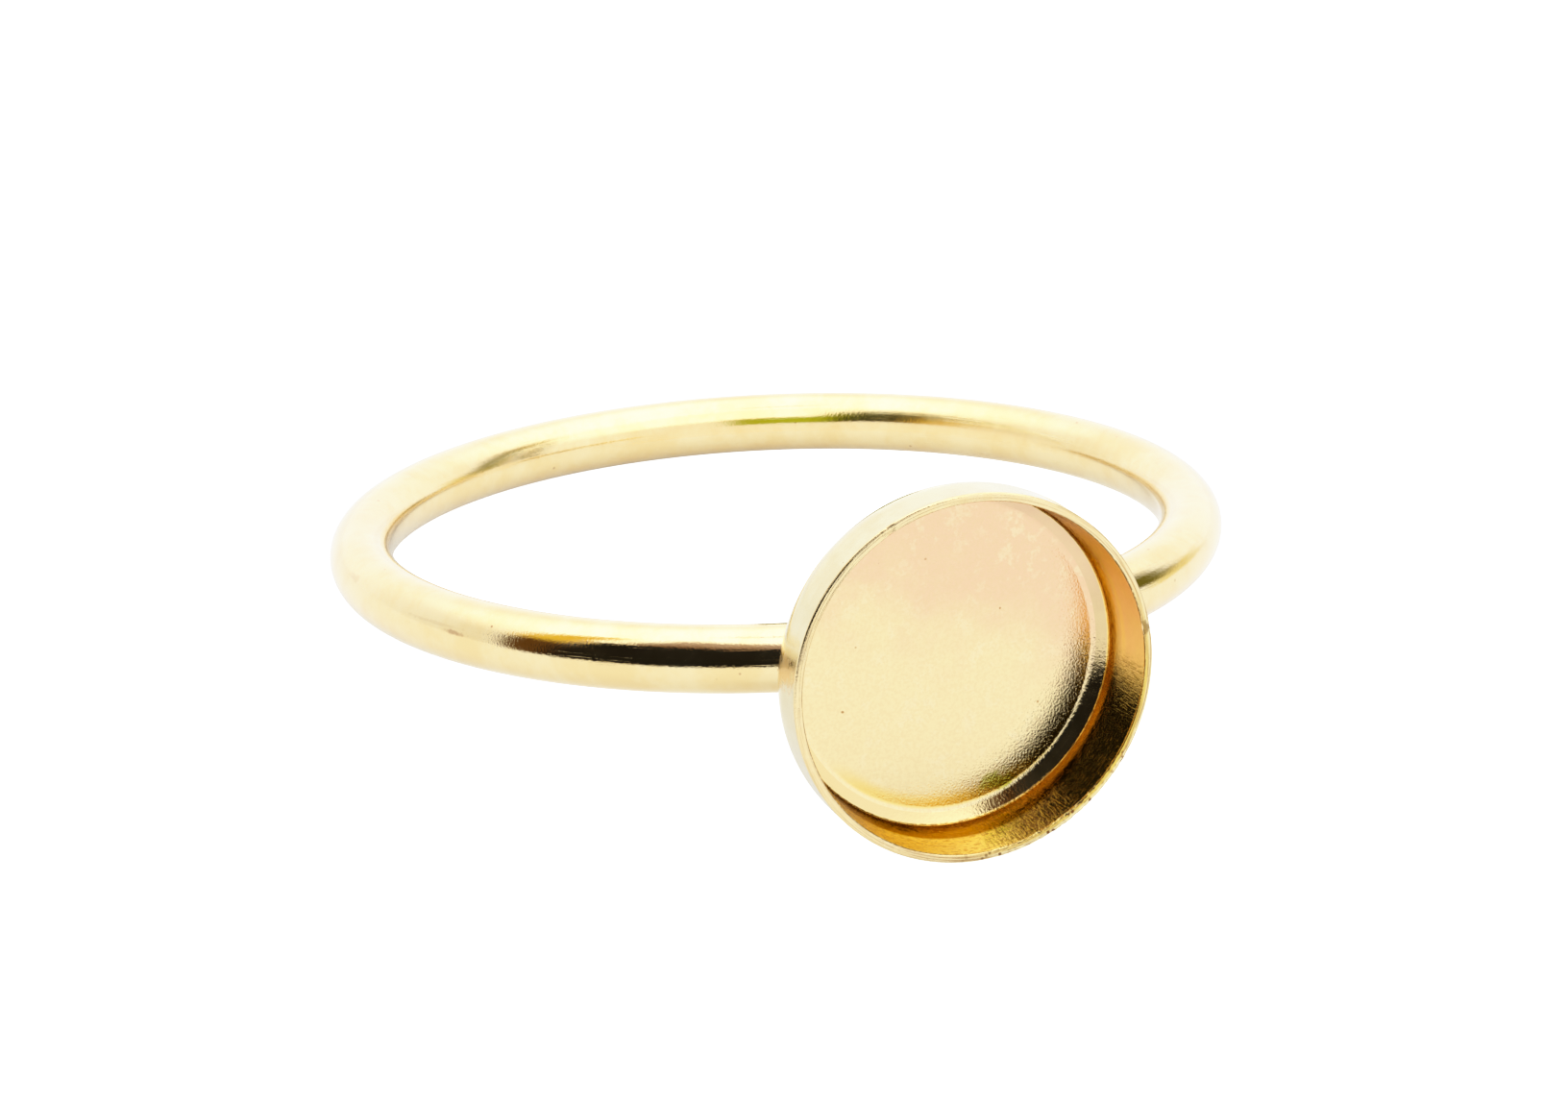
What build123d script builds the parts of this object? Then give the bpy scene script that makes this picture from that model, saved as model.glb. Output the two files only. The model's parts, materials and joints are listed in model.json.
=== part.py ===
"""A finger ring with an empty round bezel cup, lying on its side as it rests by itself.

The band is one full hoop of round wire. A thin stamped cup with a flat floor, a sloping inside
corner and a rounded back edge is soldered to the outside of the band. It waits for a stone. Band, solder and cup
are one piece of metal, so they are fused into one solid.

Millimetres, +Z up. The ring rests on the far side of the band and on the lowest point of the cup's
back edge, so the ring's own axis leans away from +Z by `lean`, worked out below from the sizes.
The cup looks towards -Y and a little upwards. The origin is under the middle of the whole piece,
on the surface that it lies on.
"""

import os
from math import asin, atan2, cos, hypot, sin

from build123d import *

# Band
FINGER_HOLE = 18.9  # inside diameter of the hoop
WIRE = 1.55  # diameter of the wire

# Bezel cup
CUP_INSIDE = 8.0  # inside diameter, the size of stone that the cup takes
CUP_WALL = 0.18
CUP_FLOOR = 0.28
CUP_DEPTH = 1.8  # from the floor up to the rim, inside
CORNER_ACROSS = 0.42  # inside, the slope between floor and wall, measured along the floor
CORNER_UP = 0.5  # the same slope, measured up the wall
CORNER_EASE = 0.08  # both edges of that slope
BACK_ROUND = 1.25  # outside, round the back edge
RIM_ROUND = 0.05  # both edges of the rim

# Solder joint
WIRE_BED = 0.05  # how far the wire is let into the cup's back
SOLDER_SPREAD = 0.3  # past the wire on each side, where the solder meets the cup
SOLDER_INSET = 1.3  # from the flat of the cup's back, at each end of the joint
SOLDER_SLOPE = 0.4  # how much the joint draws in on each side, up to the wire's middle

# Radii, and distances from the ring's axis along the cup's own axis
wire_radius = WIRE / 2
band_radius = FINGER_HOLE / 2 + wire_radius
seat_radius = CUP_INSIDE / 2
cup_radius = seat_radius + CUP_WALL
cup_back = band_radius + wire_radius - WIRE_BED
cup_floor = cup_back + CUP_FLOOR
cup_rim = cup_floor + CUP_DEPTH
back_flat = cup_radius - BACK_ROUND

# The ring leans until the wire's far side and the cup's rounded back edge touch one level surface.
# Both are arcs: their centres are `reach` apart along the cup's axis and `rise` apart across it.
reach = band_radius + cup_back + BACK_ROUND
rise = back_flat
lean = asin((BACK_ROUND - wire_radius) / hypot(reach, rise)) + atan2(rise, reach)

# Heights and depths of the leaning ring
centre_height = band_radius * sin(lean) + wire_radius
rim_corner = (cup_rim - RIM_ROUND) * cos(lean) + (cup_radius - RIM_ROUND) * sin(lean)
front = -(rim_corner + RIM_ROUND)
rear = band_radius * cos(lean) + wire_radius
centre = Vector(0, -(front + rear) / 2, centre_height)

# Planes of the leaning ring: the hoop's own plane, the plane that cuts it through the cup,
# and the plane of the cup's flat back
finger_axis = Vector(0, sin(lean), cos(lean))
cup_axis = Vector(0, -cos(lean), sin(lean))
hoop = Plane(origin=centre, x_dir=-cup_axis, z_dir=finger_axis)
section = Plane(origin=centre, x_dir=finger_axis, z_dir=(1, 0, 0))
back = Plane(origin=centre + cup_axis * cup_back, x_dir=(1, 0, 0), z_dir=-cup_axis)


with BuildPart(hoop) as band:
    Torus(band_radius, wire_radius)

with BuildPart() as cup:
    with BuildSketch(section) as cup_section:
        with BuildLine() as cup_outline:
            skin = FilletPolyline(
                (0, cup_back),
                (cup_radius, cup_back),
                (cup_radius, cup_rim),
                (seat_radius, cup_rim),
                (seat_radius, cup_floor + CORNER_UP),
                (seat_radius - CORNER_ACROSS, cup_floor),
                (0, cup_floor),
                radius=[BACK_ROUND, RIM_ROUND, RIM_ROUND, CORNER_EASE, CORNER_EASE],
            )
            Line(skin @ 0, skin @ 1)
        make_face()
    revolve(axis=Axis(centre, cup_axis))

with BuildPart() as solder:
    joint_length = 2 * (back_flat - SOLDER_INSET)
    joint_width = WIRE + 2 * SOLDER_SPREAD
    with BuildSketch(back) as joint_foot:
        SlotOverall(joint_length, joint_width)
    with BuildSketch(back.offset(wire_radius)) as joint_top:
        SlotOverall(joint_length - 2 * SOLDER_SLOPE, joint_width - 2 * SOLDER_SLOPE)
    loft()

with BuildPart() as ring:
    add(band.part)
    add(cup.part)
    add(solder.part)

ring.part.label = "bezel_cup_ring"
os.makedirs("parts", exist_ok=True)
export_step(ring.part, "parts/bezel_cup_ring.step")
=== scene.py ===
"""A finger ring of gold-filled round wire with an empty bezel cup, lying on its side on white card.

Three pieces are modelled on the bench, in millimetres, in the ring's own frame: the hoop's axis is
+Z, its middle is the origin and the cup looks towards -Y. Each finished piece is then scaled to
metres and set down where the solid leans on the floor. The cards that the polished gold mirrors
are cut on the same bench.
"""

import json
from math import asin, atan2, degrees, pi, radians, tan

import bpy
from mathutils import Matrix, Vector


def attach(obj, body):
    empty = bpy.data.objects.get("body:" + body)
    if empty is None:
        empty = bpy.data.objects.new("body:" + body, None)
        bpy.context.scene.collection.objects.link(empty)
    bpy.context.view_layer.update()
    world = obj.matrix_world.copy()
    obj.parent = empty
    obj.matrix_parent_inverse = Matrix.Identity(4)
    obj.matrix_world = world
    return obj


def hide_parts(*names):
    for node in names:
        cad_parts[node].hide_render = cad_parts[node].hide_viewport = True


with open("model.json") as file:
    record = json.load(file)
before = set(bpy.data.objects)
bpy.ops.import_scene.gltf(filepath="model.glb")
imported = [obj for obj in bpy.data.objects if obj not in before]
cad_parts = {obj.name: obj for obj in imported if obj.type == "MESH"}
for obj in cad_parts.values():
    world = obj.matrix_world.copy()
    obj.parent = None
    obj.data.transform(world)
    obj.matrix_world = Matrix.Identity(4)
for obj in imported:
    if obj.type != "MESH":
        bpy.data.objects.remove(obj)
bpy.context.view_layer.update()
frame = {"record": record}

# Sizes on the bench, in millimetres, the same as the solid's
FINGER_HOLE = 18.9
WIRE = 1.55
SEAT_RADIUS = 4.0
CUP_WALL = 0.18
CUP_FLOOR = 0.28
CUP_DEPTH = 1.8
BACK_ROUND = 1.25
RIM_ROUND = 0.05
WIRE_BED = 0.05

# What only the finished piece shows
FLOOR_RADIUS = 3.54  # where the cup's flat floor ends
SLOPE_TOP = (3.863, 0.173)  # radius, and height above the floor, where the slope meets the wall
FLARE_FOOT = (3.982, 1.762)  # where the wall starts to open towards the rim
INSIDE_ROUNDS = (0.3, 0.08, 0.05, 0.03)  # slope's foot, slope's top, flare's foot, rim's inside
SOLDER_LENGTH = 3.26
SOLDER_WIDTH = 2.15
SOLDER_SUNK = 0.02  # how far its foot is let into the cup's back
# Height above the cup's back, and how far the solder has drawn in there
SOLDER_RISE = ((0.05, 0.07), (0.12, 0.15), (0.22, 0.22), (0.36, 0.29), (0.6, 0.37))

# How finely the pieces are made
CUP_STEPS = 600
HOOP_STEPS = 480
SECTION_STEPS = 64  # round the wire's section and the solder's foot
TOUCHING = 1e-4  # points nearer than this are one
LONG_RUN = 0.6  # straight runs of the cup's section longer than this get more points

wire_radius = WIRE / 2
band_radius = FINGER_HOLE / 2 + wire_radius
cup_radius = SEAT_RADIUS + CUP_WALL
cup_back = band_radius + wire_radius - WIRE_BED
cup_floor = cup_back + CUP_FLOOR
cup_rim = cup_floor + CUP_DEPTH

# Where the solid lies, and the way from the bench to there
MM = 0.001
mounts = {m["name"]: m for m in frame["record"]["mounts"]}
ring_middle = Vector(mounts["finger"]["pos_m"])
finger_axis = Vector(mounts["finger"]["axis"]).normalized()
cup_axis = Vector(mounts["stone_seat"]["axis"]).normalized()
lean = asin(cup_axis.z)
across = Vector((1, 0, 0))
ring_turn = Matrix((across, -cup_axis, finger_axis)).transposed().to_4x4()
set_down = Matrix.Translation(ring_middle) @ ring_turn @ Matrix.Scale(MM, 4)


# Bench tools


def clear_bench():
    """Leaves object mode with nothing selected."""
    if bpy.context.object is not None and bpy.context.object.mode != "OBJECT":
        bpy.ops.object.mode_set(mode="OBJECT")
    bpy.ops.object.select_all(action="DESELECT")


def start_line(name, first):
    """A piece of one vertex, in edit mode, that a profile is drawn from."""
    clear_bench()
    bpy.ops.mesh.primitive_plane_add(size=0.1, location=(0, 0, 0))
    piece = bpy.context.object
    piece.name = piece.data.name = name
    bpy.ops.object.mode_set(mode="EDIT")
    bpy.ops.mesh.select_all(action="SELECT")
    bpy.ops.mesh.merge(type="CENTER")
    bpy.ops.transform.translate(value=first)
    return piece


def choose(piece, mode, wanted):
    """Selects the vertices or faces of a piece in edit mode whose place is wanted."""
    bpy.ops.mesh.select_mode(type=mode)
    bpy.ops.mesh.select_all(action="DESELECT")
    bpy.ops.object.mode_set(mode="OBJECT")
    if mode == "VERT":
        for v in piece.data.vertices:
            v.select = wanted(v.co)
    else:
        for p in piece.data.polygons:
            p.select = wanted(p.center)
    bpy.ops.object.mode_set(mode="EDIT")


def round_corner(piece, place, radius, before, after):
    """Rounds one corner of a profile line to a radius."""
    into = (before - place).normalized()
    out = (after - place).normalized()
    reach = radius / tan(into.angle(out) / 2)
    segments = 18 if radius > 1 else 8
    choose(piece, "VERT", lambda co: (co - place).length < TOUCHING)
    bpy.ops.mesh.bevel(offset_type="OFFSET", offset=reach, segments=segments, affect="VERTICES")


def divide_long_runs(piece):
    """More points on the long runs of a profile, so that the rounded corners don't shade across
    them."""
    bpy.ops.mesh.select_mode(type="EDGE")
    bpy.ops.mesh.select_all(action="DESELECT")
    bpy.ops.object.mode_set(mode="OBJECT")
    points = piece.data.vertices
    for e in piece.data.edges:
        e.select = (points[e.vertices[0]].co - points[e.vertices[1]].co).length > LONG_RUN
    bpy.ops.object.mode_set(mode="EDIT")
    bpy.ops.mesh.subdivide(number_cuts=9)


def close_shell(piece):
    """Welds the seams of a spun shell and turns its faces outwards."""
    bpy.ops.mesh.select_all(action="SELECT")
    bpy.ops.mesh.remove_doubles(threshold=TOUCHING)
    bpy.ops.mesh.normals_make_consistent(inside=False)
    bpy.ops.object.mode_set(mode="OBJECT")


def move_to_place(piece):
    """The chosen piece, moved from the bench to its place in the row frame."""
    piece.matrix_world = set_down @ piece.matrix_world
    bpy.ops.object.transform_apply(location=True, rotation=True, scale=True)


def finish_piece(piece, smooth_below=40):
    """Smooth shading below an angle in degrees, and the piece moved to its place."""
    clear_bench()
    piece.select_set(True)
    bpy.context.view_layer.objects.active = piece
    bpy.ops.object.shade_smooth_by_angle(angle=radians(smooth_below))
    move_to_place(piece)


# Pieces


def bend_hoop():
    """The band: the wire's round section spun once round the finger's axis."""
    clear_bench()
    bpy.ops.mesh.primitive_circle_add(
        vertices=SECTION_STEPS,
        radius=wire_radius,
        location=(0, band_radius, 0),
        rotation=(0, pi / 2, 0),
    )
    hoop = bpy.context.object
    hoop.name = hoop.data.name = "band_wire"
    bpy.ops.object.transform_apply(location=True, rotation=True, scale=True)
    bpy.ops.object.mode_set(mode="EDIT")
    bpy.ops.mesh.select_all(action="SELECT")
    bpy.ops.mesh.spin(steps=HOOP_STEPS, angle=2 * pi, center=(0, 0, 0), axis=(0, 0, 1))
    close_shell(hoop)
    finish_piece(hoop)
    return hoop


def on_profile(radius, height):
    """A point of the cup's profile: radius from the cup's axis, height above the cup's back."""
    return Vector((0, -(cup_back + height), radius))


def spin_cup():
    """The bezel cup: its section drawn as a line, its corners rounded, and spun about its axis."""
    rim = CUP_FLOOR + CUP_DEPTH
    corners = [
        on_profile(0, CUP_FLOOR),
        on_profile(FLOOR_RADIUS, CUP_FLOOR),
        on_profile(SLOPE_TOP[0], CUP_FLOOR + SLOPE_TOP[1]),
        on_profile(FLARE_FOOT[0], CUP_FLOOR + FLARE_FOOT[1]),
        on_profile(SEAT_RADIUS, rim),
        on_profile(cup_radius, rim),
        on_profile(cup_radius, 0),
        on_profile(0, 0),
    ]
    rounds = (*INSIDE_ROUNDS, RIM_ROUND, BACK_ROUND)
    cup = start_line("bezel_cup", corners[0])
    for start, end in zip(corners, corners[1:]):
        bpy.ops.mesh.extrude_region_move(TRANSFORM_OT_translate={"value": end - start})
    for place, radius, before, after in zip(corners[1:], rounds, corners, corners[2:]):
        round_corner(cup, place, radius, before, after)
    divide_long_runs(cup)
    bpy.ops.mesh.select_all(action="SELECT")
    bpy.ops.mesh.spin(steps=CUP_STEPS, angle=2 * pi, center=(0, 0, 0), axis=(0, 1, 0))
    close_shell(cup)
    roughen_rim(cup)
    finish_piece(cup)
    return cup


def roughen_rim(cup):
    """Saw burrs along the lower right of the rim and fewer at its lower left, a nick at the right
    and one at the upper left."""
    burrs = cup.vertex_groups.new(name="rim_burrs")
    # degrees round the rim from its right side, degrees to each side of there, and how strong
    worn = ((-58, 34, 1.0), (9, 3, 0.8), (118, 3, 0.7), (-115, 20, 0.35))
    least = 0.06
    rim_foot = cup_rim - 1.3 * RIM_ROUND
    for v in cup.data.vertices:
        if -v.co.y < rim_foot:
            continue
        turn = degrees(atan2(v.co.z, v.co.x))
        weight = max(most * max(0, 1 - abs(turn - at) / spread) ** 0.5 for at, spread, most in worn)
        burrs.add([v.index], max(weight, least), "REPLACE")
    ragged = bpy.data.textures.new("ragged_edge", type="CLOUDS")
    ragged.noise_scale = 0.11
    ragged.noise_depth = 2
    cup.select_set(True)
    bpy.context.view_layer.objects.active = cup
    shift = cup.modifiers.new("burrs", "DISPLACE")
    shift.texture = ragged
    shift.vertex_group = "rim_burrs"
    shift.direction = "Y"
    shift.mid_level = 0.25
    shift.strength = 0.09
    bpy.ops.object.modifier_apply(modifier="burrs")


def flow_solder():
    """The solder between the band and the cup's back: a slot shape that draws in up to the wire."""
    clear_bench()
    bpy.ops.mesh.primitive_circle_add(
        vertices=SECTION_STEPS,
        radius=SOLDER_WIDTH / 2,
        fill_type="NGON",
        location=(0, -(cup_back + SOLDER_SUNK), 0),
        rotation=(pi / 2, 0, 0),
    )
    solder = bpy.context.object
    solder.name = solder.data.name = "solder_joint"
    bpy.ops.object.transform_apply(location=True, rotation=True, scale=True)
    bpy.ops.object.mode_set(mode="EDIT")
    # the two halves of the circle are drawn apart into a slot shape
    half = (SOLDER_LENGTH - SOLDER_WIDTH) / 2
    for side in (-1, 1):
        choose(solder, "VERT", lambda co: co.x * side > 0.02)
        bpy.ops.transform.translate(value=(side * half, 0, 0))
    bpy.ops.mesh.select_all(action="SELECT")
    length, width = SOLDER_LENGTH, SOLDER_WIDTH
    reached = -SOLDER_SUNK
    for height, drawn in SOLDER_RISE:
        rise = (0, height - reached, 0)
        bpy.ops.mesh.extrude_region_move(TRANSFORM_OT_translate={"value": rise})
        short, narrow = SOLDER_LENGTH - 2 * drawn, SOLDER_WIDTH - 2 * drawn
        bpy.ops.transform.resize(
            value=(short / length, 1, narrow / width), center_override=(0, -cup_back + height, 0)
        )
        reached, length, width = height, short, narrow
    close_shell(solder)
    finish_piece(solder, smooth_below=60)
    return solder


# Finishes


class Nodes:
    """Short hand for wiring a node tree."""

    def __init__(self, tree):
        self.tree = tree

    def fill(self, node, inputs):
        """Gives a node its inputs, each of them a value or the socket that feeds it."""
        for key, value in inputs.items():
            socket = node.inputs[key]
            if isinstance(value, bpy.types.NodeSocket):
                self.tree.links.new(value, socket)
            elif socket.type == "RGBA":
                socket.default_value = (*value, 1)
            else:
                socket.default_value = value
        return node

    def add(self, kind, inputs=None, **settings):
        """A new node with its settings and inputs."""
        node = self.tree.nodes.new(kind)
        for key, value in settings.items():
            setattr(node, key, value)
        return self.fill(node, inputs or {})

    def use(self, group, inputs):
        """The results of a node group."""
        return self.add("ShaderNodeGroup", inputs, node_tree=group).outputs

    def math(self, operation, *values):
        """One step of arithmetic."""
        return self.add("ShaderNodeMath", dict(enumerate(values)), operation=operation).outputs[0]

    def plus(self, first, *others):
        for other in others:
            first = self.math("ADD", first, other)
        return first

    def minus(self, first, second):
        return self.math("SUBTRACT", first, second)

    def times(self, first, *others):
        for other in others:
            first = self.math("MULTIPLY", first, other)
        return first

    def over(self, first, second):
        return self.math("DIVIDE", first, second)

    def vector(self, operation, *places):
        """One step of arithmetic on places."""
        inputs = dict(enumerate(places))
        return self.add("ShaderNodeVectorMath", inputs, operation=operation).outputs

    def split(self, place):
        """The X, Y and Z of a place."""
        return self.add("ShaderNodeSeparateXYZ", {0: place}).outputs

    def join(self, x, y, z):
        """A place from its X, Y and Z."""
        return self.add("ShaderNodeCombineXYZ", {0: x, 1: y, 2: z}).outputs[0]

    def noise(self, place, scale, detail, roughness=0.5):
        """Soft noise, between 0 and 1."""
        inputs = {"Vector": place, "Scale": scale, "Detail": detail, "Roughness": roughness}
        return self.add("ShaderNodeTexNoise", inputs).outputs["Fac"]

    def fade(self, value, start, end, low=0.0, high=1.0):
        """Low up to start, high from end on, with a soft change between."""
        inputs = {"Value": value, "From Min": start, "From Max": end, "To Min": low, "To Max": high}
        return self.add("ShaderNodeMapRange", inputs, interpolation_type="SMOOTHSTEP").outputs[0]

    def mix(self, share, first, second):
        """A colour between two colours, each of them three values or a socket."""
        inputs = {0: share, 6: first, 7: second}
        return self.add("ShaderNodeMix", inputs, data_type="RGBA").outputs[2]


FLOAT = "NodeSocketFloat"
VECTOR = "NodeSocketVector"


def new_group(name, inputs, outputs):
    """A shader node group with named inputs, given as (name, kind, value), and outputs: its wiring,
    what it is given, and the node that takes its results."""
    n = Nodes(bpy.data.node_groups.new(name, "ShaderNodeTree"))
    for title, kind, value in inputs:
        socket = n.tree.interface.new_socket(name=title, in_out="INPUT", socket_type=kind)
        if value is not None:
            socket.default_value = value
    for title, kind in outputs:
        n.tree.interface.new_socket(name=title, in_out="OUTPUT", socket_type=kind)
    return n, n.add("NodeGroupInput").outputs, n.add("NodeGroupOutput")


def make_bench_place():
    """Millimetres in the ring's own frame, from a place on the piece that lies on the floor."""
    n, given, results = new_group("bench_place", [("Place", VECTOR, None)], [("Bench", VECTOR)])
    back_turn = Matrix.Rotation(lean, 3, "X")
    way_back = {
        "Vector": given["Place"],
        "Location": -(back_turn @ ring_middle) / MM,
        "Rotation": (lean, 0, 0),
        "Scale": (1 / MM, 1 / MM, 1 / MM),
    }
    n.fill(results, {"Bench": n.add("ShaderNodeMapping", way_back).outputs[0]})
    return n.tree


def make_unrolled():
    """Round a piece's Z axis: the way round in mm, the distance from the axis and the height."""
    n, given, results = new_group(
        "unrolled", [("Bench", VECTOR, None), ("Radius", FLOAT, 4.0)], [("Flat", VECTOR)]
    )
    part = n.split(given["Bench"])
    turn = n.math("ARCTAN2", part["Y"], part["X"])
    out = n.math("SQRT", n.plus(n.math("POWER", part["X"], 2.0), n.math("POWER", part["Y"], 2.0)))
    n.fill(results, {"Flat": n.join(n.times(turn, given["Radius"]), out, part["Z"])})
    return n.tree


def make_grain():
    """Fine grain of satin metal as a height, and slow patches as a mask."""
    n, given, results = new_group(
        "metal_grain",
        [("Place", VECTOR, None), ("Grain size", FLOAT, 0.05), ("Patch size", FLOAT, 1.0)],
        [("Height", FLOAT), ("Patches", FLOAT)],
    )
    fine = n.noise(given["Place"], n.over(1.0, given["Grain size"]), 2.0, 0.6)
    slow = n.noise(given["Place"], n.over(1.0, given["Patch size"]), 4.0, 0.65)
    n.fill(results, {"Height": fine, "Patches": n.fade(slow, 0.35, 0.65)})
    return n.tree


def make_hairlines():
    """Fine scratches that run along X of the place given: a mask, 1 in a scratch."""
    sizes = [("Length", FLOAT, 2.0), ("Width", FLOAT, 0.04), ("Amount", FLOAT, 0.5)]
    n, given, results = new_group(
        "hairlines", [("Place", VECTOR, None), *sizes], [("Lines", FLOAT)]
    )
    wide = n.over(1.0, given["Width"])
    stretch = n.join(n.over(1.0, given["Length"]), wide, wide)
    noise = n.noise(n.vector("MULTIPLY", given["Place"], stretch)[0], 1.0, 2.0)
    start = n.minus(0.75, n.times(given["Amount"], 0.25))
    n.fill(results, {"Lines": n.fade(noise, start, n.plus(start, 0.12))})
    return n.tree


def make_specks():
    """Small pits scattered over a surface: a mask, 1 in a pit."""
    sizes = [("Spacing", FLOAT, 0.5), ("Size", FLOAT, 0.05), ("Share", FLOAT, 0.3)]
    n, given, results = new_group("specks", [("Place", VECTOR, None), *sizes], [("Pits", FLOAT)])
    scale = n.over(1.0, given["Spacing"])
    cells = n.add("ShaderNodeTexVoronoi", {"Vector": given["Place"], "Scale": scale}).outputs
    chance = n.add("ShaderNodeSeparateColor", {0: cells["Color"]}).outputs
    chosen = n.math("LESS_THAN", chance["Red"], given["Share"])
    size = n.times(given["Size"], n.plus(0.5, chance["Green"]))
    reach = n.over(size, given["Spacing"])
    inside = n.fade(cells["Distance"], reach, n.times(reach, 0.5))
    n.fill(results, {"Pits": n.times(chosen, inside)})
    return n.tree


def make_soft_spot():
    """One soft ragged spot round a place: a mask, 1 in its middle."""
    n, given, results = new_group(
        "soft_spot",
        [("Place", VECTOR, None), ("Middle", VECTOR, None), ("Reach", VECTOR, None)],
        [("Spot", FLOAT)],
    )
    off = n.vector("SUBTRACT", given["Place"], given["Middle"])[0]
    far = n.vector("LENGTH", n.vector("DIVIDE", off, given["Reach"])[0])["Value"]
    ragged = n.minus(n.noise(given["Place"], 7.0, 4.0), 0.5)
    n.fill(results, {"Spot": n.fade(n.plus(far, n.times(ragged, 1.6)), 1.0, 0.3)})
    return n.tree


def make_compass():
    """Directions as the ring sees them, in degrees: round from the cup, and up from the hoop."""
    n, given, results = new_group(
        "compass", [("Bench", VECTOR, None)], [("Round", FLOAT), ("Up", FLOAT)]
    )
    part = n.split(given["Bench"])
    way = n.math("DEGREES", n.math("ARCTAN2", part["X"], n.times(part["Y"], -1.0)))
    far = n.vector("LENGTH", given["Bench"])["Value"]
    rise = n.math("DEGREES", n.math("ARCSINE", n.over(part["Z"], far)))
    n.fill(results, {"Round": way, "Up": rise})
    return n.tree


bench_place = make_bench_place()
unrolled = make_unrolled()
metal_grain = make_grain()
hairlines = make_hairlines()
specks = make_specks()
soft_spot = make_soft_spot()
compass = make_compass()


# Colours of the metal
GOLD = (0.90, 0.70, 0.36)
PALE_GOLD = (0.94, 0.79, 0.48)
LIGHT_GOLD = (0.93, 0.75, 0.40)
ROSE_GOLD = (0.88, 0.58, 0.36)
AMBER_GOLD = (0.93, 0.75, 0.27)
DEEP_GOLD = (0.31, 0.135, 0.003)
DULL_GOLD = (0.80, 0.58, 0.30)
OCHRE_GOLD = (0.78, 0.55, 0.13)
YELLOW_GOLD = (0.96, 0.74, 0.28)
HONEY_GOLD = (0.90, 0.64, 0.22)
ORANGE_GOLD = (0.92, 0.64, 0.16)
SHADED_GOLD = (0.62, 0.47, 0.23)
WIRE_GOLDS = ((0.88, 0.65, 0.28), (0.92, 0.74, 0.39))
SKIN_GOLDS = ((0.73, 0.62, 0.33), (0.78, 0.70, 0.42))
SAWN_GOLDS = ((0.78, 0.54, 0.10), (0.92, 0.80, 0.45))
SLOPE_GOLDS = ((0.84, 0.64, 0.30), (0.82, 0.56, 0.34))
WALL_GOLDS = ((0.92, 0.63, 0.36), (0.91, 0.67, 0.34))
# painted reflection at the foot of the cup's wall
FOOT_REFLECTION_GOLDS = ((0.62, 0.34, 0.04), (0.20, 0.08, 0.01))
STAIN_AND_SHADE = (0.45, 0.24, 0.08)
ORANGE_STAIN = (0.85, 0.55, 0.20)
GREEN_STAIN = (0.46, 0.44, 0.02)
BURR_DIRT = (0.20, 0.09, 0.03)
# painted shade: along the rim's inner lip, in its nick and in the strokes up the wall
LIP_PAINTED_SHADE = (0.16, 0.09, 0.03)
NICK_PAINTED_SHADE = (0.25, 0.13, 0.03)
STROKE_PAINTED_SHADE = (0.22, 0.15, 0.02)

# Spots laid over the gold: middle and reach on the bench in mm, and how strong
# painted shade: brownish spots on the wire's left bend
WIRE_PAINTED_SHADE = (
    ((-9.60, -5.30, 0.22), (0.38, 0.40, 0.07), 0.7),
    ((-10.83, -0.85, 0.45), (0.16, 0.50, 0.10), 0.25),
    ((-9.90, -4.60, 0.33), (0.9, 1.3, 0.05), 0.2),
    ((-8.91, -6.12, 0.51), (0.032, 0.032, 0.032), 1.0),
)
# stains seen on the ring, on the cup's floor
FLOOR_STAINS = (
    ((1.33, -11.23, 0.93), (0.035, 0.2, 0.035), 1.0),
    ((-2.45, -11.23, -0.91), (0.045, 0.2, 0.04), 1.0),
    ((2.18, -11.23, -1.38), (0.035, 0.2, 0.035), 1.0),
    ((-0.4, -11.23, 2.3), (0.04, 0.2, 0.03), 0.6),
)
CUP_SMEAR = ((-4.12, -12.35, 0.62), (0.4, 0.9, 0.5))
RIM_NICK = ((4.02, -cup_rim, 0.63), (0.16, 0.2, 0.24))
FLOOR_GREEN = ((1.15, -cup_floor, -3.12), (0.6, 0.4, 0.3))


def start_finish(name):
    """A new finish: the material, its wiring, its shader and the place on the bench in mm."""
    material = bpy.data.materials.new(name)
    material.use_nodes = True
    n = Nodes(material.node_tree)
    place = n.add("ShaderNodeTexCoord").outputs["Object"]
    bench = n.use(bench_place, {"Place": place})["Bench"]
    return material, n, material.node_tree.nodes["Principled BSDF"], bench


def make_metal(n, shader, colour, rough, height, depth):
    """Turns a shader into metal, with a fine relief whose full depth is given in metres."""
    relief = n.add("ShaderNodeBump", {"Height": height, "Distance": depth}).outputs[0]
    n.fill(shader, {"Metallic": 1.0, "Base Color": colour, "Roughness": rough, "Normal": relief})


def lay_gloss(n, shader, share, rough):
    """A thin clear gloss over the metal, which makes its slanting reflections whiter."""
    n.fill(shader, {"Coat Weight": share, "Coat IOR": 1.6, "Coat Roughness": rough})


def round_the_cup(n, bench):
    """The bench place unrolled round the cup's own axis, -Y: way round, radius, height."""
    part = n.split(bench)
    height = n.minus(n.times(part["Y"], -1.0), cup_floor)
    turned = n.join(part["X"], part["Z"], height)
    return n.use(unrolled, {"Bench": turned, "Radius": SEAT_RADIUS})["Flat"]


def find_grain(n, bench, grain, patch=1.0):
    """Fine grain as a Height, and slow Patches as a mask, of two sizes in mm."""
    return n.use(metal_grain, {"Place": bench, "Grain size": grain, "Patch size": patch})


def find_lines(n, place, length, width, amount):
    """The mask of fine scratches along X of a place."""
    sizes = {"Length": length, "Width": width, "Amount": amount}
    return n.use(hairlines, {"Place": place, **sizes})["Lines"]


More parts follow.
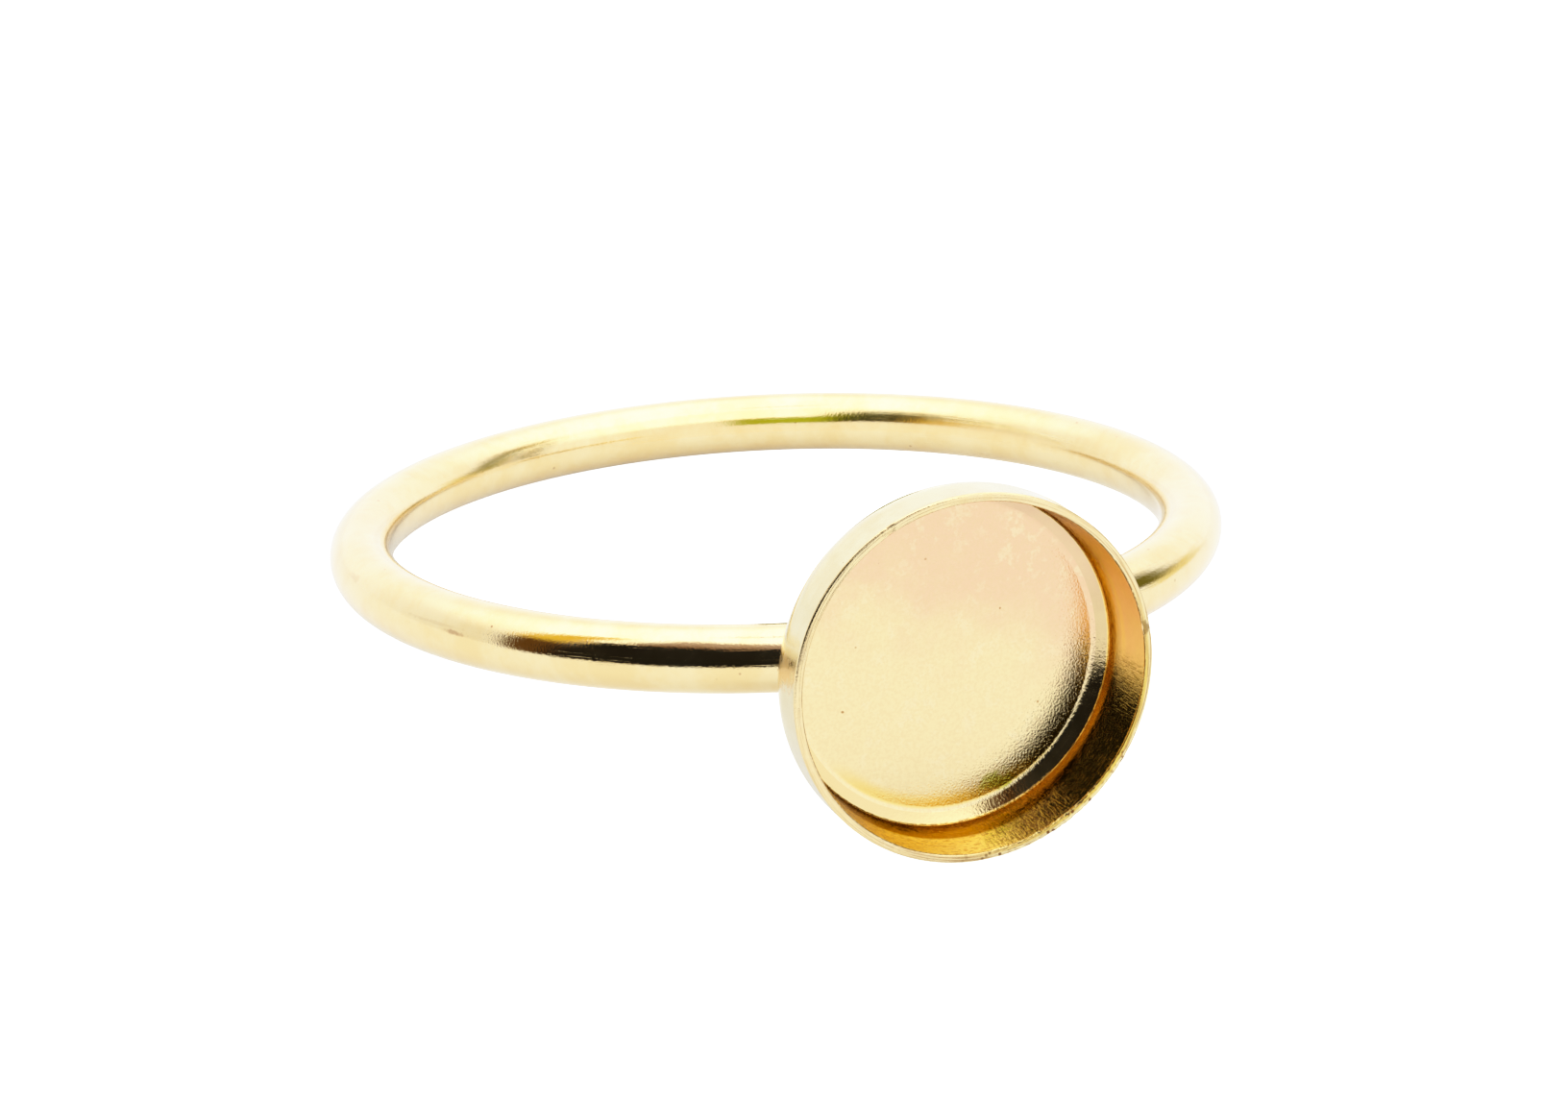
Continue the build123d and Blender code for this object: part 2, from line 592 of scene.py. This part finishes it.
def find_pits(n, bench, spacing, size, share):
    """The mask of small pits, spaced out in mm, of which only a share is there."""
    sizes = {"Spacing": spacing, "Size": size, "Share": share}
    return n.use(specks, {"Place": bench, **sizes})["Pits"]


def find_spot(n, bench, middle, reach):
    """The mask of one soft spot, from its middle and its reach. It marks stains and painted shade
    alike.
    """
    return n.use(soft_spot, {"Place": bench, "Middle": middle, "Reach": reach})["Spot"]


def add_stains_and_shade(n, bench, colour, stains):
    """Lays each spot over a colour: stains on the cup's floor, painted shade on the wire's left
    bend.
    """
    for middle, reach, share in stains:
        colour = n.mix(n.times(find_spot(n, bench, middle, reach), share), colour, STAIN_AND_SHADE)
    return colour


def make_wire_gold():
    """The band: drawn and polished wire, with faint lines along it and brownish painted shade on
    its left bend. It is a little rougher at the back and at the right, where the photograph is out
    of focus."""
    material, n, shader, bench = start_finish("wire_gold")
    flat = n.use(unrolled, {"Bench": bench, "Radius": band_radius})["Flat"]
    where = n.split(bench)
    grain = find_grain(n, bench, grain=0.05, patch=1.6)
    lines = find_lines(n, flat, length=2.5, width=0.05, amount=0.6)
    pits = find_pits(n, bench, spacing=0.45, size=0.035, share=0.25)
    colour = n.mix(grain["Patches"], *WIRE_GOLDS)
    # painted shade: brownish spots on the wire's left bend, in the stain colour
    colour = add_stains_and_shade(n, bench, colour, WIRE_PAINTED_SHADE)
    colour = n.mix(n.times(pits, 0.6), colour, STAIN_AND_SHADE)
    rough = n.plus(n.fade(grain["Patches"], 0, 1, 0.04, 0.07), n.times(lines, 0.1))
    rough = n.plus(rough, n.fade(where["Y"], -1.0, 5.0, 0.0, 0.07))
    rough = n.plus(rough, n.fade(where["X"], 5.0, 8.0, 0.0, 0.1))
    height = n.minus(n.times(grain["Height"], 0.9), n.times(lines, 0.25))
    make_metal(n, shader, colour, rough, height, depth=3.2e-6)
    lay_gloss(n, shader, share=0.9, rough=0.06)
    return material


def make_skin_gold():
    """The outside of the cup and the solder: rubbed smooth, softer than the wire."""
    material, n, shader, bench = start_finish("skin_gold")
    flat = round_the_cup(n, bench)
    grain = find_grain(n, bench, grain=0.07, patch=0.9)
    lines = find_lines(n, flat, length=1.2, width=0.04, amount=0.7)
    pits = find_pits(n, bench, spacing=0.5, size=0.04, share=0.3)
    colour = n.mix(grain["Patches"], *SKIN_GOLDS)
    colour = n.mix(n.times(pits, 0.7), colour, STAIN_AND_SHADE)
    smear = find_spot(n, bench, *CUP_SMEAR)
    colour = n.mix(n.times(smear, 0.8), colour, ORANGE_STAIN)
    rough = n.plus(n.fade(grain["Patches"], 0, 1, 0.10, 0.17), n.times(lines, 0.1))
    rough = n.plus(rough, n.times(smear, 0.2))
    height = n.minus(n.times(grain["Height"], 0.6), n.times(lines, 0.4))
    make_metal(n, shader, colour, rough, height, depth=1.5e-6)
    lay_gloss(n, shader, share=0.8, rough=0.1)
    return material


def make_rim_gold():
    """The rim's sawn edge: scored lengthways, dirty in the burrs at its lower right, with painted
    shade along its inner lip at the right and the left, and nicked at the right, with painted shade
    in the nick."""
    material, n, shader, bench = start_finish("rim_gold")
    flat = round_the_cup(n, bench)
    radius = n.split(flat)["Y"]
    where = n.split(bench)
    low_right = n.plus(where["X"], n.times(where["Z"], -0.8))
    grain = find_grain(n, bench, grain=0.05, patch=0.5)
    scores = find_lines(n, flat, length=1.5, width=0.028, amount=1.0)
    dirt = find_pits(n, bench, spacing=0.10, size=0.042, share=0.55)
    colour = n.mix(n.times(grain["Patches"], 0.5), GOLD, PALE_GOLD)
    sawn = n.mix(n.fade(radius, 4.05, 4.13), *SAWN_GOLDS)
    colour = n.mix(n.fade(low_right, 1.0, 5.4), colour, sawn)
    scored = n.times(scores, n.fade(low_right, -1.0, 3.0, 0.25, 0.75))
    colour = n.mix(scored, colour, STAIN_AND_SHADE)
    burred = n.times(n.fade(where["Z"], -1.5, -2.6), dirt, n.fade(low_right, 2.2, 4.0))
    colour = n.mix(burred, colour, BURR_DIRT)
    right = n.times(n.fade(where["X"], 1.0, 2.6), n.fade(where["Z"], -0.9, -0.2))
    left = n.times(n.fade(where["X"], -1.2, -2.8), n.fade(where["Z"], 1.2, -0.2))
    # painted shade along the inner lip, at the right and the left
    lip = n.times(n.fade(radius, 4.02, 4.0), n.fade(grain["Height"], 0.35, 0.5))
    lip = n.times(lip, n.math("MAXIMUM", right, left), 0.85)
    colour = n.mix(lip, colour, LIP_PAINTED_SHADE)
    # painted shade in the nick at the right
    nick = n.times(find_spot(n, bench, *RIM_NICK), 0.8)
    colour = n.mix(nick, colour, NICK_PAINTED_SHADE)
    rough = n.plus(n.fade(grain["Patches"], 0, 1, 0.12, 0.2), n.times(scores, 0.1))
    height = n.minus(grain["Height"], n.times(scores, 0.6))
    make_metal(n, shader, colour, rough, height, depth=5.0e-6)
    return material


def rosy_painted_reflection(n, bench):
    """Where the cup's floor shows a painted rosy reflection: its upper right half, with an uneven
    edge.
    """
    broad = find_grain(n, bench, grain=0.3, patch=2.2)
    where = n.split(bench)
    up = n.plus(where["Z"], n.times(where["X"], 0.35))
    up = n.plus(up, n.times(n.minus(broad["Patches"], 0.5), 1.2))
    return n.fade(up, -0.6, 2.4)


def make_floor_gold():
    """The cup's floor: satin, with a painted rosy reflection over its upper half, small pale
    blotches, an orange line along its lower edge and a green stain there."""
    material, n, shader, bench = start_finish("floor_gold")
    where = n.split(bench)
    radius = n.split(round_the_cup(n, bench))["Y"]
    grain = find_grain(n, bench, grain=0.052, patch=0.3)
    slow = find_grain(n, bench, grain=0.16, patch=0.9)
    speckle = find_grain(n, bench, grain=0.075)["Height"]
    pits = find_pits(n, bench, spacing=0.7, size=0.022, share=0.3)
    # painted reflection: rosy over the floor's upper right half
    colour = n.mix(rosy_painted_reflection(n, bench), LIGHT_GOLD, ROSE_GOLD)
    blotches = n.times(n.fade(grain["Patches"], 0.55, 1.0), slow["Patches"], 0.5)
    colour = n.mix(blotches, colour, PALE_GOLD)
    colour = n.mix(n.fade(speckle, 0.6, 0.35, 0.0, 0.3), colour, DULL_GOLD)
    colour = n.mix(n.times(pits, 0.6), colour, STAIN_AND_SHADE)
    colour = add_stains_and_shade(n, bench, colour, FLOOR_STAINS)
    edge = n.times(n.fade(radius, 3.12, 3.4), n.fade(radius, 3.56, 3.48))
    edge = n.times(edge, n.fade(where["Z"], -1.9, -2.9), 0.85)
    colour = n.mix(edge, colour, ORANGE_GOLD)
    green = n.times(find_spot(n, bench, *FLOOR_GREEN), 0.8)
    colour = n.mix(green, colour, GREEN_STAIN)
    rough = n.fade(grain["Patches"], 0, 1, 0.03, 0.055)
    height = n.plus(grain["Height"], n.times(slow["Height"], 0.04))
    make_metal(n, shader, colour, rough, height, depth=5.8e-6)
    return material


def make_slope_gold():
    """The slope round the cup's floor: pressed smooth by the punch, with painted shade at its
    right.
    """
    material, n, shader, bench = start_finish("slope_gold")
    where = n.split(bench)
    grain = find_grain(n, bench, grain=0.06, patch=0.7)
    # painted reflection: rosier over the upper right, as on the floor
    colour = n.mix(rosy_painted_reflection(n, bench), *SLOPE_GOLDS)
    # painted shade: darker towards the right of the slope
    shaded_right = n.times(n.fade(where["X"], 2.6, 3.6), n.fade(where["Z"], 2.2, 0.2), 0.8)
    colour = n.mix(shaded_right, colour, SHADED_GOLD)
    colour = n.mix(n.times(grain["Patches"], 0.25), colour, GOLD)
    rough = n.fade(grain["Patches"], 0, 1, 0.07, 0.12)
    make_metal(n, shader, colour, rough, grain["Height"], depth=4.0e-6)
    n.fill(shader, {"Specular Tint": (0.85, 0.68, 0.4)})
    return material


def wall_strokes(n, flat, where):
    """Short scratches up the wall, at its bottom and at its lower right: a mask."""
    part = n.split(flat)
    upright = n.join(part["Z"], part["X"], part["Y"])
    strokes = find_lines(n, upright, length=0.35, width=0.038, amount=1.0)
    bottom = n.times(n.fade(where["X"], -0.2, 1.2), n.fade(where["X"], 2.6, 2.0))
    bottom = n.times(bottom, n.fade(where["Z"], -2.6, -3.2))
    right = n.times(n.fade(where["Z"], -0.1, -0.5, 0.0, 0.6), n.fade(where["Z"], -1.9, -1.2))
    right = n.times(right, n.fade(part["Z"], 0.5, 1.1), n.fade(where["X"], 2.0, 3.0))
    return n.times(strokes, n.math("MAXIMUM", bottom, right))


def make_wall_gold():
    """The inside of the cup's wall: deeper gold with painted reflection at its foot, scraped round
    by the punch, speckled with pits, with a yellow band half way up and a few upright strokes in
    painted shade."""
    material, n, shader, bench = start_finish("wall_gold")
    flat = round_the_cup(n, bench)
    above = n.split(flat)["Z"]
    where = n.split(bench)
    lower_left = n.plus(n.times(where["X"], -0.6), n.times(where["Z"], -0.8))
    grain = find_grain(n, bench, grain=0.045, patch=0.8)
    lines = find_lines(n, flat, length=0.16, width=0.045, amount=1.0)
    pits = find_pits(n, bench, spacing=0.16, size=0.045, share=0.4)
    strokes = wall_strokes(n, flat, where)
    colour = n.mix(grain["Patches"], *WALL_GOLDS)
    colour = n.mix(n.fade(where["Z"], 1.0, -2.5), colour, AMBER_GOLD)
    # the foot in painted reflection, with a thin painted bright line under it
    foot_height = n.fade(lower_left, -0.5, 3.0, 0.85, 1.0)
    foot_soft = n.fade(lower_left, -0.5, 3.0, 0.5, 0.15)
    foot = n.fade(above, foot_height, n.minus(foot_height, foot_soft))
    foot_reflection = n.mix(n.fade(above, 0.3, 0.65), *FOOT_REFLECTION_GOLDS)
    foot_reflection = n.mix(n.fade(lower_left, 0.5, 3.0), foot_reflection, DEEP_GOLD)
    foot_reflection = n.mix(n.fade(where["Z"], -1.0, 1.2), foot_reflection, OCHRE_GOLD)
    foot_reflection = n.mix(n.fade(above, 0.215, 0.195), foot_reflection, HONEY_GOLD)
    colour = n.mix(n.times(foot, 0.95), colour, foot_reflection)
    band = n.times(n.fade(above, 0.72, 0.82), n.fade(above, 1.0, 0.86))
    band = n.times(band, n.fade(where["Z"], -1.0, 0.4), 0.7)
    colour = n.mix(band, colour, YELLOW_GOLD)
    worn = n.times(n.math("MAXIMUM", lines, pits), n.fade(where["Z"], 0.0, -2.0), 0.55)
    colour = n.mix(worn, colour, STAIN_AND_SHADE)
    # painted shade in the upright strokes
    colour = n.mix(n.times(strokes, 0.7), colour, STROKE_PAINTED_SHADE)
    rough = n.plus(n.fade(grain["Patches"], 0, 1, 0.035, 0.06), n.times(lines, 0.06))
    scraped = n.plus(n.times(lines, 0.5), n.times(pits, 0.4))
    height = n.minus(n.times(grain["Height"], 0.8), scraped)
    height = n.minus(height, n.times(strokes, 1.2))
    height = n.times(height, n.fade(where["Z"], -0.5, -3.0, 1.0, 1.6))
    make_metal(n, shader, colour, rough, height, depth=2.3e-6)
    n.fill(shader, {"Specular Tint": (0.72, 0.46, 0.18)})
    return material


wire_gold = make_wire_gold()
skin_gold = make_skin_gold()
floor_gold = make_floor_gold()
slope_gold = make_slope_gold()
wall_gold = make_wall_gold()
rim_gold = make_rim_gold()


def dress_cup(cup):
    """Its own finish for each part of the cup: skin outside, then floor, slope, wall and rim."""
    for metal in (skin_gold, floor_gold, slope_gold, wall_gold, rim_gold):
        cup.data.materials.append(metal)
    floor_middle = set_down @ on_profile(0, CUP_FLOOR)
    # each limit is moved a little, so that it falls inside the round between two parts
    for face in cup.data.polygons:
        off = (face.center - floor_middle) / MM
        height = off.dot(cup_axis)
        radius = (off - cup_axis * height).length
        if -0.01 < height < 0.05 and radius < FLOOR_RADIUS + 0.08:
            face.material_index = 1
        elif 0 < height < SLOPE_TOP[1] - 0.02 and radius < SLOPE_TOP[0]:
            face.material_index = 2
        elif 0 < height < CUP_DEPTH - 0.02 and radius < SEAT_RADIUS + 0.01:
            face.material_index = 3
        elif height > CUP_DEPTH - 0.06:
            face.material_index = 4


# The studio

# The white card under the ring
PAPER = (0.59, 0.59, 0.58)
GLOW_ON_METAL = 0.25
GLOW_IN_VIEW = 1.7

# Colours of the cards round the ring
BLACK = (0.012, 0.011, 0.010)
BROWN = (0.11, 0.05, 0.012)
ORANGE = (0.95, 0.62, 0.06)
MAUVE = (0.55, 0.40, 0.36)
GREY = (1.0, 0.95, 1.0)
DARK_OLIVE = (0.15, 0.13, 0.015)
OLIVE = (0.50, 0.36, 0.07)
STRAW = (1.0, 0.86, 0.42)

# Colours of the strip inside the hoop
STRIP_WHITE = (1.9, 1.9, 1.7)
STRIP_CREAM = (1.25, 1.18, 1.08)
SLIT_DARK = (0.03, 0.03, 0.0)
SLIT_GREEN = (0.46, 0.52, 0.0)
SLIT_ORANGE = (0.95, 0.60, 0.06)
SLIT_OLIVE = (0.30, 0.26, 0.03)

# The cards and the strip shine by themselves and throw no light back
MATT = {"Roughness": 1.0, "Specular IOR Level": 0.0}
SHINING = {**MATT, "Base Color": (0, 0, 0), "Emission Strength": 1.0}
# In degrees: what is kept of a card past its soft edges, the height at which a leaning edge stays
# where it is, and the side from which a cut foot rises
SPARE = 5
LEAN_LEVEL = 20.0
CUT_FROM = -15.0


def lay_floor():
    """White card, lit through so that the ring throws almost no shadow on it."""
    clear_bench()
    bpy.ops.mesh.primitive_plane_add(size=1.6, location=(0, 0, 0))
    floor = bpy.context.object
    floor.name = floor.data.name = "white_floor"
    card = bpy.data.materials.new("lit_card")
    card.use_nodes = True
    n = Nodes(card.node_tree)
    seen = n.add("ShaderNodeLightPath").outputs["Is Camera Ray"]
    glow = n.fade(seen, 0, 1, GLOW_ON_METAL, GLOW_IN_VIEW)
    lit = {**MATT, "Base Color": PAPER, "Emission Color": (1, 1, 1), "Emission Strength": glow}
    n.fill(card.node_tree.nodes["Principled BSDF"], lit)
    floor.data.materials.append(card)


def way_round(place):
    """The compass's degrees round from the cup, of a place on the bench."""
    return degrees(atan2(place.x, -place.y))


def show_in_mirrors(card):
    """The camera, the diffuse light and the shadows don't see the card: only reflections do."""
    card.visible_camera = card.visible_diffuse = card.visible_shadow = False


def make_card_finish(name, sides, heights, soft, shades, change, fall, shear, cut):
    """A card's colour and its torn soft edges, as hang_card says."""
    material, n, shader, bench = start_finish(name)
    left, right = sides
    low, high = heights
    soft_left, soft_right, soft_low, soft_high = soft
    way = n.use(compass, {"Bench": bench})
    tear = n.times(n.minus(n.noise(bench, 0.12, 3.0), 0.5), 2 * soft_left)
    side = n.plus(way["Round"], tear, n.times(n.minus(way["Up"], LEAN_LEVEL), shear))
    rise = n.plus(way["Up"], n.times(tear, soft_low / soft_left))
    far_side = n.plus(side, n.times(n.math("MAXIMUM", way["Up"], 0.0), cut[1]))
    foot = n.minus(rise, n.fade(way["Round"], CUT_FROM, right, 0.0, cut[0]))
    past = n.times(n.minus(way["Round"], fall[0]), fall[1])
    crest = n.plus(rise, n.math("MAXIMUM", past, 0.0))
    shown = n.times(
        n.fade(side, left, left + soft_left),
        n.fade(far_side, right, right - soft_right),
        n.fade(foot, low, low + soft_low),
        n.fade(crest, high, high - soft_high),
    )
    colour = n.mix(n.fade(crest, *change), *shades)
    n.fill(shader, {**SHINING, "Emission Color": colour, "Alpha": shown})
    return material


def hang_card(
    name, distance, sides, heights, soft, shades, change=(0, 1), fall=(0, 0), shear=0, cut=(0, 0)
):
    """A card that only the polished metal mirrors: the part of a dome between two sides and two
    heights, in degrees as the ring sees them, the cup being 0.

    soft: over how many degrees its left, right, lower and upper edges fade
    shades: its lower and its upper colour, which change between the two heights of change
    fall: the side from which its top comes down, and how fast; below 0 it does so to the left
    shear: how much its left and right edges lean
    cut: how far its foot rises towards the right, and how fast its right edge comes in upwards
    """
    clear_bench()
    bpy.ops.mesh.primitive_uv_sphere_add(segments=90, ring_count=45, radius=distance)
    card = bpy.context.object
    card.name = card.data.name = name

    def outside(middle):
        height = degrees(atan2(middle.z, (middle.x**2 + middle.y**2) ** 0.5))
        in_sides = sides[0] - SPARE < way_round(middle) < sides[1] + SPARE
        return not (in_sides and heights[0] - SPARE < height < heights[1] + SPARE)

    bpy.ops.object.mode_set(mode="EDIT")
    choose(card, "FACE", outside)
    bpy.ops.mesh.delete(type="FACE")
    bpy.ops.mesh.select_all(action="SELECT")
    bpy.ops.mesh.flip_normals()
    bpy.ops.object.mode_set(mode="OBJECT")
    move_to_place(card)
    finish = make_card_finish(name, sides, heights, soft, shades, change, fall, shear, cut)
    card.data.materials.append(finish)
    show_in_mirrors(card)


def hang_cards():
    """The dark and coloured surroundings that the wire and the cup mirror, each at its own distance
    in mm."""
    hang_card(
        "dark_card",
        distance=85,
        sides=(-78, 9),
        heights=(-16, 48),
        soft=(7, 2, 1.5, 2),
        shades=(BLACK, BLACK),
        fall=(-50, 0.2),
        cut=(10, 0.3),
    )
    hang_card(
        "brown_card",
        distance=86,
        sides=(-91, -66),
        heights=(-14, 66),
        soft=(4, 8, 3, 6),
        shades=(BROWN, ORANGE),
        change=(28, 42),
        fall=(-88, -1.5),
        shear=0.22,
    )
    hang_card(
        "mauve_card",
        distance=87,
        sides=(-72, 12),
        heights=(12, 70),
        soft=(12, 2, 2, 7),
        shades=(BROWN, MAUVE),
        change=(44, 62),
        fall=(-50, 0.3),
    )
    hang_card(
        "grey_card",
        distance=88,
        sides=(-100, 20),
        heights=(81.5, 86.5),
        soft=(9, 4, 1.5, 1.5),
        shades=(GREY, GREY),
    )
    hang_card(
        "olive_card",
        distance=85,
        sides=(58, 97),
        heights=(2, 52),
        soft=(12, 11, 8, 12),
        shades=(DARK_OLIVE, OLIVE),
        change=(30, 46),
    )
    hang_card(
        "straw_card",
        distance=89,
        sides=(78, 112),
        heights=(-8, 16),
        soft=(8, 12, 6, 8),
        shades=(STRAW, STRAW),
    )


def make_strip_finish():
    """White, with a narrow slit that is low and green on the left, higher and darker on the right
    and orange at its right end. On the strip's inner side the slit is olive and reaches high."""
    material, n, shader, bench = start_finish("fill_strip")
    way = n.use(compass, {"Bench": bench})["Round"]
    rise = n.split(bench)["Z"]
    inner = n.add("ShaderNodeNewGeometry").outputs["Backfacing"]
    full = 5.8  # mm above the hoop, to where the slit reaches at its highest
    foot = n.fade(way, 156.0, 150.0, 0.35, 0.7)
    head_left = n.fade(way, 157.0, 152.5, 1.9, full)
    head_right = n.fade(way, 142.0, 148.0, 2.2, full)
    head = n.math("MAXIMUM", n.math("MINIMUM", head_left, head_right), n.times(inner, full))
    below = n.fade(rise, n.plus(head, 0.2), n.minus(head, 0.3))
    slit = n.times(n.fade(rise, foot, n.plus(foot, 0.25)), below)
    slit = n.times(slit, n.fade(way, 139.5, 142.0), n.fade(way, 167.0, 164.5))
    shade = n.mix(n.fade(way, 153.0, 156.0), SLIT_DARK, SLIT_GREEN)
    shade = n.mix(n.fade(way, 146.0, 145.0), shade, SLIT_ORANGE)
    shade = n.mix(inner, shade, SLIT_OLIVE)
    colour = n.mix(slit, n.mix(below, STRIP_WHITE, STRIP_CREAM), shade)
    n.fill(shader, {**SHINING, "Emission Color": colour})
    return material


def stand_fill():
    """A strip inside the hoop that only the metal mirrors. The far side of the band mirrors its
    outer side, and the left of the band's back its inner one."""
    clear_bench()
    bpy.ops.mesh.primitive_cylinder_add(
        vertices=90, radius=7, depth=8.2, end_fill_type="NOTHING", location=(0, 0, 2.9)
    )
    strip = bpy.context.object
    strip.name = strip.data.name = "fill_strip"
    bpy.ops.object.mode_set(mode="EDIT")
    choose(strip, "FACE", lambda middle: not 128 < way_round(middle) < 176)
    bpy.ops.mesh.delete(type="FACE")
    bpy.ops.object.mode_set(mode="OBJECT")
    bpy.ops.object.transform_apply(location=True, rotation=True, scale=True)
    move_to_place(strip)
    strip.data.materials.append(make_strip_finish())
    show_in_mirrors(strip)


def light_studio(level, overhead, behind, left):
    """White light all round at one level, and at another from overhead. What comes from behind the
    ring and from its left is added to it."""
    world = bpy.data.worlds.new("white_room")
    bpy.context.scene.world = world
    world.use_nodes = True
    n = Nodes(world.node_tree)
    way = n.split(n.add("ShaderNodeTexCoord").outputs["Generated"])
    light = n.plus(
        n.fade(way["Z"], 0.45, 0.9, level, overhead),
        n.fade(way["Y"], 0.1, 0.8, 0.0, behind),
        n.fade(way["X"], -0.2, -0.9, 0.0, left),
    )
    n.fill(world.node_tree.nodes["Background"], {"Color": (1, 1, 1), "Strength": light})


def expose_bright():
    """The bright exposure of the photograph: highlights roll off to white."""
    brightest = 2
    view = bpy.context.scene.view_settings
    view.view_transform = "Standard"
    view.look = "None"
    view.use_curve_mapping = True
    view.curve_mapping.white_level = (brightest, brightest, brightest)
    view.curve_mapping.use_clip = False
    curve = view.curve_mapping.curves[3]
    for light, shown in ((0.5, 0.5), (0.91, 0.82), (1.2, 0.955), (1.6, 0.995), (1.8, 1.01)):
        curve.points.new(light / brightest, shown)
    curve.points[-1].location = (1, 1.03)
    view.curve_mapping.update()


def set_camera():
    """The photograph's camera, fitted to the outlines of the hoop and the cup."""
    clear_bench()
    place = Vector((-27.9167, -75.9982, 39.9356)) * MM
    aim = Vector((0.1202, 0.9947, 1.7650)) * MM
    turn = (aim - place).to_track_quat("-Z", "Y").to_matrix().to_4x4()
    roll = Matrix.Rotation(radians(0.688), 4, "Z")
    bpy.ops.object.camera_add()
    camera = bpy.context.object
    camera.name = "photo_camera"
    camera.matrix_world = Matrix.Translation(place) @ turn @ roll
    camera.data.sensor_fit = "HORIZONTAL"
    camera.data.sensor_width = 36
    camera.data.lens = 83.66
    camera.data.clip_start = 0.001
    camera.data.clip_end = 10
    bpy.context.scene.camera = camera


for leftover in ("Cube", "Light", "Camera"):
    if leftover in bpy.data.objects:
        bpy.data.objects.remove(bpy.data.objects[leftover])

band = bend_hoop()
band.data.materials.append(wire_gold)
solder = flow_solder()
solder.data.materials.append(skin_gold)
cup = spin_cup()
dress_cup(cup)

for piece in (band, cup, solder):
    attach(piece, "root")
    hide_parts("bezel_cup_ring")

lay_floor()
hang_cards()
stand_fill()
light_studio(level=1.3, overhead=2.1, behind=0.08, left=-0.25)
set_camera()
expose_bright()
